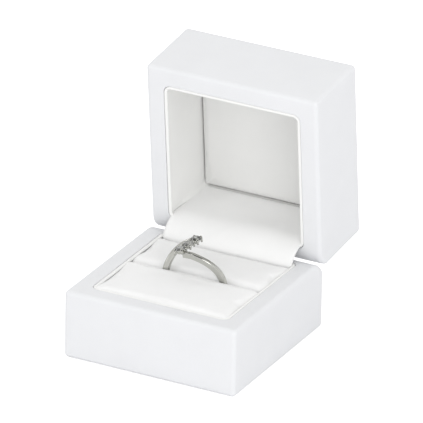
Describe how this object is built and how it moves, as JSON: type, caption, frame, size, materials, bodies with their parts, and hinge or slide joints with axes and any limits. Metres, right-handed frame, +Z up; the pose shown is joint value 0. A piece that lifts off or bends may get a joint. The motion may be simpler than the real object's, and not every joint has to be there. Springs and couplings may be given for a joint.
{
  "type": "jewelry gift box",
  "caption": "Small hinged ring box in white leatherette, standing open, with a slotted pad, padded lid and a bypass ring in the slot.",
  "frame": {"origin": "centre of the base's underside, on the surface it stands on", "axes": "+Z up through the lid, -Y out of the opening towards the viewer, +X to the viewer's right; the hinge is at +Y"},
  "size_m": [0.056, 0.0795, 0.0766],
  "materials": {
    "moulded_core": "moulded, matt",
    "leatherette": "coated paper leatherette, fine grain, satin",
    "base_paper": "matt paper",
    "lining_cloth": "short velvet pile on card",
    "card": "plain grey-white card",
    "pad_cloth": "suede-like velveteen over foam",
    "panel_cloth": "satin over thin padding",
    "strip_cloth": "soft velveteen strip",
    "hinge_steel": "stamped, nickel plated",
    "screw_steel": "turned",
    "spring_steel": "blued spring strip",
    "white_gold": "polished white metal",
    "clear_stone": "cut and polished"
  },
  "bodies": {
    "base": {"base_core": "moulded_core", "base_wrap": "leatherette", "base_bottom_sheet": "base_paper", "base_liner": "lining_cloth", "insert_stage": "card", "front_pad": "pad_cloth", "rear_pad": "pad_cloth", "base_hinge_leaf": "hinge_steel", "base_leaf_screws": "screw_steel", "cam_spring": "spring_steel", "spring_rivet": "screw_steel", "hinge_pin": "screw_steel", "hinge_strip": "strip_cloth"},
    "lid": {"lid_hinge_leaf": "hinge_steel", "lid_leaf_screws": "screw_steel", "lid_core": "moulded_core", "lid_wrap": "leatherette", "lid_liner": "lining_cloth", "lid_panel_card": "card", "lid_panel_pad": "panel_cloth"},
    "ring": {"ring_shank": "white_gold", "ring_settings": "white_gold", "ring_stones": "clear_stone"}
  },
  "joints": [
    {"name": "lid_hinge", "type": "hinge", "parent": "base", "child": "lid", "pos_m": [0, 0.0255, 0.0209], "axis": [1, 0, 0], "range_deg": [0, 84.2], "deforming": ["hinge_strip", "cam_spring"]},
    {"name": "ring_lift", "type": "slide", "parent": "base", "child": "ring", "axis": [0, 0, 1], "range_m": [0, 0.009]}
  ]
}
